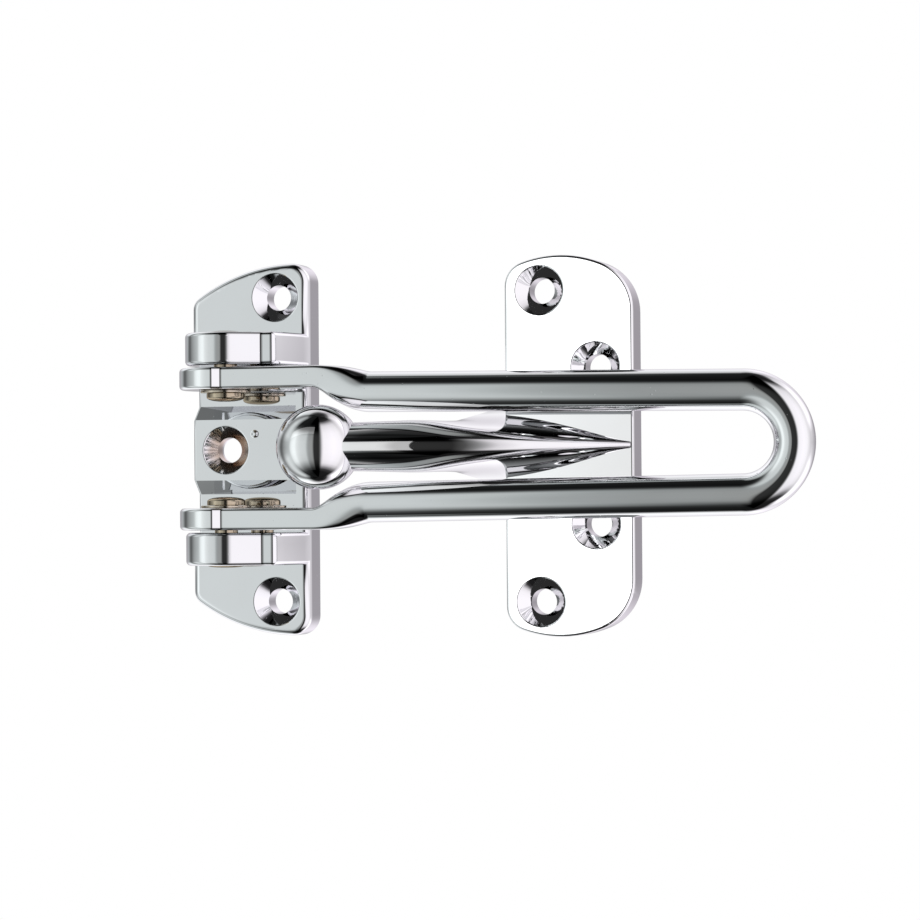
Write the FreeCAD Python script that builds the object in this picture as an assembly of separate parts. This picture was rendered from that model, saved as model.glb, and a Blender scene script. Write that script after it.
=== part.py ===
import FreeCAD, Part
import math
import os

# A door guard in two halves, as it is screwed to a door frame and its door.
# The mounting plane is y = 0 and the guard stands out from it towards -y.
# Z is up, x runs from the hinge bracket to the striker, and the origin is
# where the axis of the bracket's middle screw meets the mounting plane.
# "Out" is the distance from the mounting plane, so y is minus out.
# All sizes are in millimetres.

# Hinge bracket
bracket_left = -7.1
bracket_right = 18.3
bracket_crown_r = 36.0
bracket_crown_x = 14.9
bracket_left_corner_r = 3.0
bracket_right_corner_r = 4.0
bracket_thickness = 6.4
bracket_edge_r = 1.6

# Channels under the eyes, with the raised pad between them
pad_out = 5.6
pad_edge_r = 0.6
pad_half_height = 6.2
pad_slope_height = 2.8
eye_floor_gap = 1.0
rail_width = 2.8

# Ears that hold the pivots
pivot_x = 2.9
pivot_out = 13.0
ear_thickness = 6.6
ear_boss_r = 8.1
ear_shoulder_angle = 30.0
ear_shoulder_x = 12.1
ear_shoulder_r = 1.5
ear_cheek_width = 2.6
ear_corner_r = 1.3
ear_flank_bulge = 0.25
ear_edge_r = 0.9
ear_foot_depth = 3.0

# Screw holes, all countersunk
screw_hole_r = 2.6
screw_rim_r = 4.95
screw_sink_angle = 45.0
rim_lip_r = 0.5
flange_screw_x = 11.2
flange_screw_ear_gap = 7.5
flange_screw_end_gap = 6.9

# Hollow backs of the two castings
casting_wall = 2.6
back_pocket_depth = 2.6
pocket_corner_r = 1.0
screw_boss_wall = 2.9

# Swing bar
eye_r = 9.3
eye_inner = 11.9
eye_thickness = 4.4
eye_ear_gap = 0.5
eye_edge_r = 0.8
strap_depth = 8.0
strap_drop = 1.0
strap_step_x = 0.4
strap_step_angle = 30.0
strap_step_r = 1.2
strap_heel_r = 2.5
strap_end_x = 24.0
bar_r = 4.0
bar_start_x = 35.4
bar_start_spacing = 10.9
bar_end_r = 10.0
bar_reach_x = 124.0
jog_steps = 6

# Pivots and their washers
pin_r = 2.33
pin_running_gap = 0.05
pin_rivet_gap = 0.02
pin_head_r = 3.85
pin_head_height = 1.7
pin_head_round = 0.6
rivet_end_r = 3.8
rivet_end_height = 0.5
washer_r = 5.05
washer_thickness = 0.5
washer_bore_gap = 0.1
washer_side_gap = 0.05

# Striker plate
striker_left = 59.6
striker_width = 26.3
striker_half_height = 37.8
striker_crown_r = 23.3
striker_crown_inset = 11.0
striker_left_corner_r = 5.0
striker_right_corner_r = 10.5
striker_thickness = 6.2
striker_edge_r = 0.6
outer_screw_inset = 7.2
outer_screw_end_gap = 6.9
inner_screw_inset = 18.6
inner_screw_half_spacing = 15.5
arm_root_half_height = 10.5

# Ball arm
ball_r = 8.4
ball_x = 25.7
ball_out = 21.5
neck_r = 4.8
neck_start_x = 28.5
arm_body_r = 5.6
arm_ridge_r = 2.4
arm_ridge_rise = 0.5
arm_flank_pull = 1.1
arm_start_slope = 0.03
arm_end_slope = 0.62
arm_tip_rise = 0.5
arm_tip_inset = 0.6
arm_tip_r = 0.5
arm_thinning = 1.8
arm_flare_length = 17.0
arm_flare_angle = 35.0
arm_foot_overlap = 1.0
arm_foot_tip = 0.6
arm_foot_spread = 0.46
arm_foot_curl = 0.0068
arm_upper_pull = 0.25
arm_lower_pull = 0.45
arm_steps = 14

# Length by which cutting shapes overrun what they cut, and how near two
# places lie to count as one
overshoot = 1.0
near = 1e-6

# Handle of a cubic that follows a quarter circle, as a share of its radius
circle_handle = 0.5523


def at(x, out, z):
    """Point at x, standing out from the mounting plane, at height z."""
    return FreeCAD.Vector(x, -out, z)


def line(a, b):
    return Part.LineSegment(a, b).toShape()


def arc(a, b, c):
    return Part.Arc(a, b, c).toShape()


def bezier(poles):
    curve = Part.BezierCurve()
    curve.setPoles(poles)
    return curve.toShape()


def mirrored(shape):
    """The same shape below the centre line."""
    return shape.mirror(at(0, 0, 0), at(0, 0, 1))


def block(x0, x1, out0, out1, z0, z1):
    size = (x1 - x0, out1 - out0, z1 - z0)
    return Part.makeBox(*size, at(x0, out1, z0))


def prism_along_z(points_wire, z0, z1):
    """A flat outline at height z0 drawn up to z1."""
    return Part.Face(points_wire).extrude(at(0, 0, z1 - z0))


def crowned_blank(left, right, half_height, crown_r, crown_x, corner_l, corner_r, thickness):
    """A plate with arched ends and rounded corners, its back on the plane."""
    centre = half_height - crown_r

    def crown(x):
        return centre + math.sqrt(crown_r ** 2 - (x - crown_x) ** 2)

    left_z = crown(left)
    right_z = crown(right)
    edges = [
        line(at(left, 0, -left_z), at(left, 0, left_z)),
        arc(at(left, 0, left_z), at(crown_x, 0, half_height), at(right, 0, right_z)),
        line(at(right, 0, right_z), at(right, 0, -right_z)),
        arc(at(right, 0, -right_z), at(crown_x, 0, -half_height), at(left, 0, -left_z)),
    ]
    blank = Part.Face(Part.Wire(edges)).extrude(at(0, thickness, 0))
    for corner_x, radius in ((left, corner_l), (right, corner_r)):
        corners = [
            edge for edge in blank.Edges
            if all(abs(v.X - corner_x) < near for v in edge.Vertexes)
            and abs(edge.Vertexes[0].Z - edge.Vertexes[-1].Z) < near
        ]
        blank = blank.makeFillet(radius, corners)
    return blank


def round_front_edges(plate, thickness, radius):
    """Round the outline of the plate's front face."""
    front = [
        edge for edge in plate.Edges
        if all(abs(v.Y + thickness) < near for v in edge.Vertexes)
        and abs(edge.BoundBox.YLength) < near
    ]
    return plate.makeFillet(radius, front)


def cut_screw_hole(plate, x, z, thickness):
    """A countersunk hole through the plate, its rim rounded, as one turned cut."""
    lean = math.radians(screw_sink_angle)
    sink = (screw_rim_r - screw_hole_r) / math.tan(lean)
    reach = rim_lip_r * math.tan(lean / 2)
    cone_end = (screw_rim_r - reach * math.sin(lean), thickness - reach * math.cos(lean))
    lip_middle = (
        screw_rim_r + reach - rim_lip_r * math.sin(lean / 2),
        thickness - rim_lip_r * (1 - math.cos(lean / 2)),
    )

    def place(radius, out):
        return at(x + radius, out, z)

    top = thickness + overshoot
    edges = [
        line(place(0, -overshoot), place(screw_hole_r, -overshoot)),
        line(place(screw_hole_r, -overshoot), place(screw_hole_r, thickness - sink)),
        line(place(screw_hole_r, thickness - sink), place(*cone_end)),
        arc(place(*cone_end), place(*lip_middle), place(screw_rim_r + reach, thickness)),
        line(place(screw_rim_r + reach, thickness), place(screw_rim_r + reach, top)),
        line(place(screw_rim_r + reach, top), place(0, top)),
        line(place(0, top), place(0, -overshoot)),
    ]
    cutter = Part.Face(Part.Wire(edges)).revolve(at(x, 0, z), at(0, 1, 0), 360)
    return plate.cut(cutter)


def channel_floor():
    """How far out the floor under the eyes stands."""
    return pivot_out - eye_r - eye_floor_gap


def ear_inner():
    return eye_inner + eye_thickness + eye_ear_gap


def ear_outer():
    return ear_inner() + ear_thickness


def flange_screw_z():
    """Height of a flange's screw, clear of the ear."""
    return ear_outer() + flange_screw_ear_gap


def bracket_half_height():
    return flange_screw_z() + flange_screw_end_gap


def rail_inner_x():
    return bracket_right - rail_width


def recess_end():
    """Height at which the recess ends, inside the root of the ear."""
    return ear_inner() + ear_edge_r


def make_recess():
    """The cut between the ears: both channels and the low pad between."""
    floor = channel_floor()
    top = bracket_thickness + overshoot
    foot = pad_half_height + pad_slope_height
    end = recess_end()
    x = bracket_left - overshoot
    upper = [
        at(x, pad_out, pad_half_height),
        at(x, floor, foot),
        at(x, floor, end),
        at(x, top, end),
    ]
    lower = [FreeCAD.Vector(p.x, p.y, -p.z) for p in reversed(upper)]
    outline = Part.makePolygon(upper + lower + upper[:1])
    return Part.Face(outline).extrude(at(rail_inner_x() - x, 0, 0))


def round_bracket_edges(body):
    """Round the front outline and the left edge of the pad and channels."""
    front = [
        edge for edge in body.Edges
        if all(abs(v.Y + bracket_thickness) < near for v in edge.Vertexes)
        and not all(abs(v.X - rail_inner_x()) < near for v in edge.Vertexes)
        and not all(abs(abs(v.Z) - recess_end()) < near for v in edge.Vertexes)
    ]
    body = body.makeFillet(bracket_edge_r, front)
    left = [
        edge for edge in body.Edges
        if all(abs(v.X - bracket_left) < near for v in edge.Vertexes)
        and all(abs(v.Z) < recess_end() + near for v in edge.Vertexes)
        and all(-v.Y > channel_floor() - near for v in edge.Vertexes)
        and edge.BoundBox.ZLength > near
    ]
    return body.makeFillet(pad_edge_r, left)


def make_ear():
    """The upper ear: boss round the pivot, shoulder, cheek and flank."""
    z = ear_inner()
    left = pivot_x - ear_boss_r
    slope = math.radians(ear_shoulder_angle)
    leave = at(pivot_x + ear_boss_r * math.sin(slope), pivot_out + ear_boss_r * math.cos(slope), z)
    crease_out = -leave.y - (ear_shoulder_x - leave.x) * math.tan(slope)
    crease = at(ear_shoulder_x, crease_out, z)
    cheek = at(ear_shoulder_x + ear_cheek_width, crease_out, z)
    foot = at(bracket_right, bracket_thickness - bracket_edge_r, z)
    middle = (cheek + foot) * 0.5 + at(ear_flank_bulge, 0, 0)
    root_out = bracket_thickness - ear_foot_depth
    edges = [
        line(at(left, root_out, z), at(left, pivot_out, z)),
        arc(at(left, pivot_out, z), at(pivot_x, pivot_out + ear_boss_r, z), leave),
        line(leave, crease),
        line(crease, cheek),
        arc(cheek, middle, foot),
        line(foot, at(rail_inner_x(), root_out, z)),
        line(at(rail_inner_x(), root_out, z), at(left, root_out, z)),
    ]
    ear = prism_along_z(Part.Wire(edges), z, z + ear_thickness)
    for corner, radius in ((crease, ear_shoulder_r), (cheek, ear_corner_r)):
        uprights = [
            edge for edge in ear.Edges
            if all(math.hypot(v.X - corner.x, v.Y - corner.y) < near for v in edge.Vertexes)
        ]
        ear = ear.makeFillet(radius, uprights)
    rims = [
        edge for edge in ear.Edges
        if edge.BoundBox.ZLength < near and edge.BoundBox.YMin < -bracket_thickness
    ]
    return ear.makeFillet(ear_edge_r, rims)


def make_back_pocket(left, right, half_height, crown_r, crown_x, corner_l, corner_r, z_from, screws):
    """Upper hollow in the back of a casting, a wall inside its outline.

    Each screw, given as (x, z), keeps a solid boss round it.
    """
    pocket = crowned_blank(
        left + casting_wall, right - casting_wall, half_height - casting_wall,
        crown_r - casting_wall, crown_x, max(corner_l - casting_wall, pocket_corner_r),
        max(corner_r - casting_wall, pocket_corner_r), back_pocket_depth,
    )
    pocket = pocket.common(block(left, right, -overshoot, back_pocket_depth, z_from, half_height))
    for x, z in screws:
        boss_r = screw_hole_r + screw_boss_wall
        length = back_pocket_depth + 2 * overshoot
        pocket = pocket.cut(Part.makeCylinder(boss_r, length, at(x, -overshoot, z), at(0, 1, 0)))
    return pocket


def pivot_bore(radius):
    """A bar along the pivot axis, through both ears."""
    reach = ear_outer() + overshoot
    return Part.makeCylinder(radius, 2 * reach, at(pivot_x, pivot_out, -reach), at(0, 0, 1))


def make_bracket():
    shape = (
        bracket_left, bracket_right, bracket_half_height(), bracket_crown_r,
        bracket_crown_x, bracket_left_corner_r, bracket_right_corner_r,
    )
    body = crowned_blank(*shape, bracket_thickness)
    body = body.cut(make_recess())
    body = round_bracket_edges(body)
    ear = make_ear()
    body = body.fuse([ear, mirrored(ear)])
    body = body.cut(pivot_bore(pin_r + pin_rivet_gap))
    pocket = make_back_pocket(*shape, ear_outer(), [(flange_screw_x, flange_screw_z())])
    body = body.cut(pocket).cut(mirrored(pocket))
    body = cut_screw_hole(body, 0, 0, pad_out)
    for z in (flange_screw_z(), -flange_screw_z()):
        body = cut_screw_hole(body, flange_screw_x, z, bracket_thickness)
    return body.removeSplitter()


def make_strap():
    """The upper eye with its flat strap, up to where the bar turns round."""
    z = eye_inner
    front = pivot_out + eye_r - strap_drop
    back = front - strap_depth
    slope = math.radians(strap_step_angle)
    crest = at(pivot_x + strap_step_x, pivot_out + math.sqrt(eye_r ** 2 - strap_step_x ** 2), z)
    step_foot = at(crest.x + (-crest.y - front) / math.tan(slope), front, z)
    heel = at(pivot_x + math.sqrt(eye_r ** 2 - (pivot_out - back) ** 2), back, z)
    edges = [
        arc(heel, at(pivot_x - eye_r, pivot_out, z), crest),
        line(crest, step_foot),
        line(step_foot, at(strap_end_x, front, z)),
        line(at(strap_end_x, front, z), at(strap_end_x, back, z)),
        line(at(strap_end_x, back, z), heel),
    ]
    strap = prism_along_z(Part.Wire(edges), z, z + eye_thickness)
    for corner, radius in ((crest, strap_step_r), (step_foot, strap_step_r), (heel, strap_heel_r)):
        uprights = [
            edge for edge in strap.Edges
            if all(math.hypot(v.X - corner.x, v.Y - corner.y) < near for v in edge.Vertexes)
        ]
        strap = strap.makeFillet(radius, uprights)
    rims = [
        edge for edge in strap.Edges
        if edge.BoundBox.ZLength < near and edge.BoundBox.XMin < strap_end_x - near
    ]
    return strap.makeFillet(eye_edge_r, rims)


def arc_poles(middle, radius, start, stop):
    """Poles (across, deep) of one cubic close to a circle's arc."""
    grip = 4 / 3 * math.tan((stop - start) / 4) * radius
    a = (middle[0] + radius * math.cos(start), middle[1] + radius * math.sin(start))
    b = (middle[0] + radius * math.cos(stop), middle[1] + radius * math.sin(stop))
    return [
        a,
        (a[0] - grip * math.sin(start), a[1] + grip * math.cos(start)),
        (b[0] + grip * math.sin(stop), b[1] - grip * math.cos(stop)),
        b,
    ]


def oblong_poles(half_width, half_depth, corner):
    """The eight runs of a rounded oblong: each corner, then a flat."""
    runs = []
    for k in range(4):
        start = k * math.pi / 2
        turn = start + math.pi / 4
        middle = (
            math.copysign(half_width - corner, math.cos(turn)),
            math.copysign(half_depth - corner, math.sin(turn)),
        )
        runs.append(arc_poles(middle, corner, start, start + math.pi / 2))
    poles = []
    for run, following in zip(runs, runs[1:] + runs[:1]):
        a = run[-1]
        b = following[0]
        thirds = [
            tuple(a[i] + share * (b[i] - a[i]) for i in range(2))
            for share in (0.0, 1 / 3, 2 / 3, 1.0)
        ]
        poles += [run, thirds]
    return poles


def section_places(centre, heading, outline):
    """Points of an outline, square to a line that runs at the heading."""
    side = FreeCAD.Vector(-math.sin(heading), 0, math.cos(heading))
    return [centre + side * across + at(0, deep, 0) for across, deep in outline]


def oblong_section(centre):
    """The strap's own outline, from straight lines and true arcs."""
    corner = eye_edge_r
    edges = []
    for k, poles in enumerate(oblong_poles(eye_thickness / 2, strap_depth / 2, corner)):
        a, b = section_places(centre, 0.0, (poles[0], poles[-1]))
        if k % 2:
            edges.append(line(a, b))
            continue
        turn = (k / 2 + 0.5) * math.pi / 2
        middle = (
            math.copysign(eye_thickness / 2 - corner, math.cos(turn)) + corner * math.cos(turn),
            math.copysign(strap_depth / 2 - corner, math.sin(turn)) + corner * math.sin(turn),
        )
        edges.append(arc(a, section_places(centre, 0.0, [middle])[0], b))
    return Part.Wire(edges)


def blended_section(centre, heading, half_width, roundness):
    """A closed section of eight curves between the oblong and the circle.

    Roundness 1 gives the round bar. Below that, the poles of the two
    outlines are mixed in that share.
    """
    oblong = oblong_poles(half_width, strap_depth / 2, eye_edge_r)
    eighth = math.pi / 4
    edges = []
    for k, flat in enumerate(oblong):
        full = arc_poles((0.0, 0.0), bar_r, eighth * (k + 0.5), eighth * (k + 1.5))
        mixed = [
            tuple(f[i] + roundness * (c[i] - f[i]) for i in range(2))
            for f, c in zip(flat, full)
        ]
        edges.append(bezier(section_places(centre, heading, mixed)))
    return Part.Wire(edges)


def bar_centre_out():
    return pivot_out + eye_r - strap_drop - strap_depth / 2


def bar_heading():
    """Angle at which the upper bar runs, tangent to the U end."""
    run = bar_end_centre_x() - bar_start_x
    distance = math.hypot(run, bar_start_spacing)
    return math.asin(bar_end_r / distance) - math.atan2(bar_start_spacing, run)


def make_upper_jog():
    """The turn from strap to round bar, as a loft along an S-shaped line."""
    centre_out = bar_centre_out()
    start_z = eye_inner + eye_thickness / 2
    end_z = bar_start_spacing
    length = bar_start_x - strap_end_x
    end_slope = math.tan(bar_heading())
    wires = [oblong_section(at(strap_end_x, centre_out, start_z))]
    for k in range(1, jog_steps + 1):
        u = k / jog_steps
        smooth = u * u * (3 - 2 * u)
        ends = u * u * (u - 1)
        z = start_z + (end_z - start_z) * smooth + end_slope * length * ends
        slope = (end_z - start_z) * 6 * u * (1 - u) / length + end_slope * (3 * u * u - 2 * u)
        centre = at(strap_end_x + u * length, centre_out, z)
        half_width = eye_thickness / 2 + (bar_r - eye_thickness / 2) * smooth
        wires.append(blended_section(centre, math.atan(slope), half_width, smooth))
    return Part.makeLoft(wires, True, False)


def bar_end_centre_x():
    return bar_reach_x - bar_end_r - bar_r


def make_long_bar():
    """Both round bars and the half ring that joins them, as one sweep."""
    centre_out = bar_centre_out()
    heading = bar_heading()
    centre_x = bar_end_centre_x()
    start = at(bar_start_x, centre_out, bar_start_spacing)
    touch = at(centre_x - bar_end_r * math.sin(heading), centre_out, bar_end_r * math.cos(heading))
    end = at(centre_x + bar_end_r, centre_out, 0)
    lower_touch = at(touch.x, centre_out, -touch.z)
    lower_start = at(start.x, centre_out, -start.z)
    path = Part.Wire([
        line(start, touch),
        arc(touch, end, lower_touch),
        line(lower_touch, lower_start),
    ])
    section = blended_section(start, heading, bar_r, 1.0)
    return path.makePipeShell([section], True, False)


def make_swing_bar():
    """The whole swing bar: two eyes and straps, two turns, and the U bar."""
    strap = make_strap()
    jog = make_upper_jog()
    bar = make_long_bar()
    body = bar.fuse([strap, mirrored(strap), jog, mirrored(jog)])
    return body.cut(pivot_bore(pin_r + pin_running_gap)).removeSplitter()


def turned(profile):
    """A solid turned about the pivot axis from (radius, height) points."""
    points = [at(pivot_x + radius, pivot_out, z) for radius, z in profile]
    face = Part.Face(Part.makePolygon(points + points[:1]))
    return face.revolve(at(pivot_x, pivot_out, 0), at(0, 0, 1), 360)


def make_pin():
    """The upper rivet pin: domed head inside, shank, flat end outside."""
    head_top = eye_inner - washer_thickness - 2 * washer_side_gap
    head_bottom = head_top - pin_head_height
    ear_top = ear_outer()
    pin = turned([
        (0, head_bottom),
        (pin_head_r, head_bottom),
        (pin_head_r, head_top),
        (pin_r, head_top),
        (pin_r, ear_top),
        (rivet_end_r, ear_top),
        (rivet_end_r, ear_top + rivet_end_height),
        (0, ear_top + rivet_end_height),
    ])
    rims = [
        edge for edge in pin.Edges
        if isinstance(edge.Curve, Part.Circle)
        and abs(edge.Curve.Radius - pin_head_r) < near
        and abs(edge.Curve.Center.z - head_bottom) < near
    ]
    pin = pin.makeFillet(pin_head_round, rims)
    outer = [
        edge for edge in pin.Edges
        if isinstance(edge.Curve, Part.Circle)
        and abs(edge.Curve.Radius - rivet_end_r) < near
        and edge.Curve.Center.z > ear_top + 0.1 * rivet_end_height
    ]
    return pin.makeFillet(rivet_end_height / 2, outer)


def make_washer():
    """The upper washer between the pin's head and the eye."""
    top = eye_inner - washer_side_gap
    bottom = top - washer_thickness
    bore = pin_r + washer_bore_gap
    return turned([(bore, bottom), (washer_r, bottom), (washer_r, top), (bore, top)])


def eased(value):
    """0 below 0, 1 above 1, and an even S between."""
    u = min(max(value, 0.0), 1.0)
    return u * u * (3 - 2 * u)


def arm_crest(x):
    """How far out the ridge of the arm stands at x: one falling cubic."""
    run = arm_tip_x() - neck_start_x
    u = (x - neck_start_x) / run
    start = ball_out + neck_r + arm_ridge_rise
    end = striker_thickness + arm_tip_rise
    across = start + (end - start) * u * u * (3 - 2 * u)
    leaving = arm_start_slope * run * u * (1 - u) ** 2
    arriving = arm_end_slope * run * u * u * (1 - u)
    return across - leaving + arriving


def arm_tip_x():
    return striker_left + striker_width - arm_tip_inset


def arm_half_width(x):
    """Half width of the round part, which swells from the neck to the body."""
    swelling = eased((x - neck_start_x) / (striker_left - neck_start_x))
    return neck_r + (arm_body_r - neck_r) * swelling


def arm_ridge_radius(x):
    """Radius over the ridge, which thins to the tip."""
    thin_from = striker_left - arm_flare_length
    share = max(0.0, (x - thin_from) / (arm_tip_x() - thin_from)) ** arm_thinning
    return arm_ridge_r * (1 - share) + arm_tip_r * share


def arm_foot_half_width(x):
    """Half width of the foot: an arch on the plate, drawn in beyond it."""
    along = arm_tip_x() - max(x, striker_left)
    arch = arm_foot_tip + arm_foot_spread * along - arm_foot_curl * along ** 2
    draw_in = eased((striker_left - x) / arm_flare_length)
    return arch + (arm_body_r - arch) * draw_in


def arm_foot_out(x):
    """Height of the foot: inside the plate, rising to the neck beyond it."""
    rise = eased((striker_left + arm_foot_overlap - x) / arm_flare_length)
    inside = striker_thickness / 2
    return inside + (arm_crest(x) - 2 * arm_half_width(x) - inside) * rise


def round_side(x, shoulder):
    """Poles from the shoulder down a flank and round to the back of the neck."""
    width = arm_half_width(x)
    ridge = arm_ridge_radius(x)
    diagonal = width * math.sqrt(0.5)
    flank = (width - ridge) * math.sqrt(0.5) * arm_flank_pull
    hold = circle_handle * diagonal
    back = arm_crest(x) - math.sqrt(2) * width + (math.sqrt(2) - 1) * ridge - diagonal
    return [
        (shoulder[0] + flank + hold, shoulder[1] - flank - hold),
        (diagonal + arm_flank_pull * hold, back + arm_flank_pull * hold),
        (diagonal, back),
        (diagonal - hold, back - hold),
    ]


def bell_side(x, shoulder):
    """Poles from the shoulder down a flank that flares out to a flat foot."""
    half_width = arm_foot_half_width(x)
    foot_out = arm_foot_out(x)
    drop = shoulder[1] - foot_out
    lean = math.radians(arm_flare_angle)
    upper_pull = arm_upper_pull * drop
    lower_pull = arm_lower_pull * drop
    return [
        (shoulder[0] + upper_pull, shoulder[1] - upper_pull),
        (half_width - lower_pull * math.sin(lean), foot_out + lower_pull * math.cos(lean)),
        (half_width, foot_out),
        (half_width / 3, foot_out),
    ]


def arm_section(x):
    """A closed section of the arm at x, as four curves.

    Both outlines share a rounded ridge with sloping shoulders. The neck's is
    round behind it, and the one on the plate is a bell with a flat bottom.
    Between the two their poles are mixed.
    """
    ridge = arm_ridge_radius(x)
    corner = ridge * math.sqrt(0.5)
    hold = circle_handle * corner
    shoulder = (corner, arm_crest(x) - ridge + corner)
    rise = (corner - hold, shoulder[1] + hold)
    bell = eased((x - striker_left + arm_flare_length) / (arm_flare_length + arm_foot_overlap))
    down, up, heel, sole = [
        (a[0] + bell * (b[0] - a[0]), a[1] + bell * (b[1] - a[1]))
        for a, b in zip(round_side(x, shoulder), bell_side(x, shoulder))
    ]

    def flip(point):
        return (-point[0], point[1])

    outlines = [
        [flip(shoulder), flip(rise), rise, shoulder],
        [shoulder, down, up, heel],
        [heel, sole, flip(sole), flip(heel)],
        [flip(heel), flip(up), flip(down), flip(shoulder)],
    ]
    return Part.Wire([
        bezier([at(x, out, z) for z, out in outline])
        for outline in outlines
    ])


def make_arm():
    """The arm that carries the ball, rising from the plate like a beak."""
    length = arm_tip_x() - neck_start_x
    sections = [
        arm_section(neck_start_x + length * k / arm_steps)
        for k in range(arm_steps + 1)
    ]
    return Part.makeLoft(sections, True, False)


def make_striker():
    """The striker: plate, arm and ball as one casting."""
    shape = (
        striker_left, striker_left + striker_width, striker_half_height, striker_crown_r,
        striker_left + striker_crown_inset, striker_left_corner_r, striker_right_corner_r,
    )
    plate = crowned_blank(*shape, striker_thickness)
    plate = round_front_edges(plate, striker_thickness, striker_edge_r)
    screws = [
        (striker_left + outer_screw_inset, striker_half_height - outer_screw_end_gap),
        (striker_left + inner_screw_inset, inner_screw_half_spacing),
    ]
    pocket = make_back_pocket(*shape, arm_root_half_height, screws)
    plate = plate.cut(pocket).cut(mirrored(pocket))
    for x, z in screws:
        plate = cut_screw_hole(plate, x, z, striker_thickness)
        plate = cut_screw_hole(plate, x, -z, striker_thickness)
    ball = Part.makeSphere(ball_r, at(ball_x, ball_out, 0), at(1, 0, 0))
    return plate.fuse([make_arm(), ball]).removeSplitter()


def main():
    os.makedirs("parts", exist_ok=True)
    pin = make_pin()
    washer = make_washer()
    nodes = {
        "hinge_bracket": make_bracket(),
        "swing_bar": make_swing_bar(),
        "pivot_pin_upper": pin,
        "pivot_pin_lower": mirrored(pin),
        "washer_upper": washer,
        "washer_lower": mirrored(washer),
        "ball_striker": make_striker(),
    }
    for name, shape in nodes.items():
        shape.exportStep(f"parts/{name}.step")
        print(name, len(shape.Solids), shape.isValid(), round(shape.Volume, 1))


main()
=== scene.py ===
import logging
import math
from dataclasses import dataclass
from enum import Enum
from functools import cache
from typing import Sequence

import bmesh
import bpy
import numpy as np
from mathutils import Matrix, Vector


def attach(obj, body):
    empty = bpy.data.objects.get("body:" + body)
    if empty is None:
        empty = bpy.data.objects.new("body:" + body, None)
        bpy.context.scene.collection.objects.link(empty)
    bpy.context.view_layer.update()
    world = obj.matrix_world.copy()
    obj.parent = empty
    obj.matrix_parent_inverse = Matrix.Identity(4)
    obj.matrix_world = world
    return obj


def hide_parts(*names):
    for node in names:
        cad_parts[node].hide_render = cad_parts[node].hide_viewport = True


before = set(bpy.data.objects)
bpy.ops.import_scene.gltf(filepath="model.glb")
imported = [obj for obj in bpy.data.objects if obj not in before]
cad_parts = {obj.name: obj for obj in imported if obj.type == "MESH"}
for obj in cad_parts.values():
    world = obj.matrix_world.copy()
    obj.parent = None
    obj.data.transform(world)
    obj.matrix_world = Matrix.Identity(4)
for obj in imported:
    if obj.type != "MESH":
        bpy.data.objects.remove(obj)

log = logging.getLogger("door_guard")

MM = 0.001
Colour = tuple[float, float, float]
Pair = tuple[float, float]
Shares = tuple[Pair, ...]
Tones = tuple[tuple[float, float, float, float], ...]
Number = "float | Value"


def linear(level: float) -> float:
    """Linear light of a display level from 0 to 255.

    Args:
        level: The display level.

    Returns:
        The scene value that shows at that level.
    """
    share = level / 255.0
    return share / 12.92 if share <= 0.04045 else ((share + 0.055) / 1.055) ** 2.4


def toned(rows: Tones) -> list[tuple[float, Colour]]:
    """Linear colours of rows of display levels.

    Args:
        rows: Each a place and the display levels of red, green and blue there.

    Returns:
        Each place with its linear colour.
    """
    return [(place, tuple(linear(level) for level in levels)) for place, *levels in rows]


class Value:
    """A number socket whose arithmetic adds Math nodes."""

    def __init__(self, graph: "Graph", socket: bpy.types.NodeSocket) -> None:
        """Wraps a socket of a graph."""
        self.graph = graph
        self.socket = socket

    def _math(self, operation: str, *terms: Number) -> "Value":
        """One Math node of these terms."""
        sockets = dict(enumerate(terms))
        return self.graph.node("ShaderNodeMath", {"operation": operation}, sockets)[0]

    def __add__(self, other: Number) -> "Value":
        """Sum."""
        return self._math("ADD", self, other)

    __radd__ = __add__

    def __mul__(self, other: Number) -> "Value":
        """Product."""
        return self._math("MULTIPLY", self, other)

    __rmul__ = __mul__

    def __sub__(self, other: Number) -> "Value":
        """Difference."""
        return self._math("SUBTRACT", self, other)

    def __rsub__(self, other: Number) -> "Value":
        """Difference from a number."""
        return self._math("SUBTRACT", other, self)

    def __truediv__(self, other: Number) -> "Value":
        """Quotient."""
        return self._math("DIVIDE", self, other)

    def squared(self) -> "Value":
        """The value times itself."""
        return self * self

    def root(self) -> "Value":
        """Square root."""
        return self._math("SQRT", self)

    def arcsine(self) -> "Value":
        """Arcsine, in radians."""
        return self._math("ARCSINE", self)

    def most(self, other: Number) -> "Value":
        """The larger of the two."""
        return self._math("MAXIMUM", self, other)

    def angle_with(self, other: "Value") -> "Value":
        """Angle of (other, self), in radians."""
        return self._math("ARCTAN2", self, other)

    def fade(self, start: float, stop: float) -> "Value":
        """0 at start and 1 at stop, with soft ends.

        Args:
            start: Where the fade is 0.
            stop: Where the fade is 1.

        Returns:
            The faded value.
        """
        settings = {"interpolation_type": "SMOOTHSTEP"}
        sockets = {"Value": self, "From Min": start, "From Max": stop}
        return self.graph.node("ShaderNodeMapRange", settings, sockets)["Result"]


class Outputs:
    """The outputs of a node, by name or number."""

    def __init__(self, graph: "Graph", made: bpy.types.Node) -> None:
        """Wraps a node of a graph."""
        self.graph = graph
        self.made = made

    def __getitem__(self, key: "str | int") -> Value:
        """One output."""
        return Value(self.graph, self.made.outputs[key])


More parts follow.
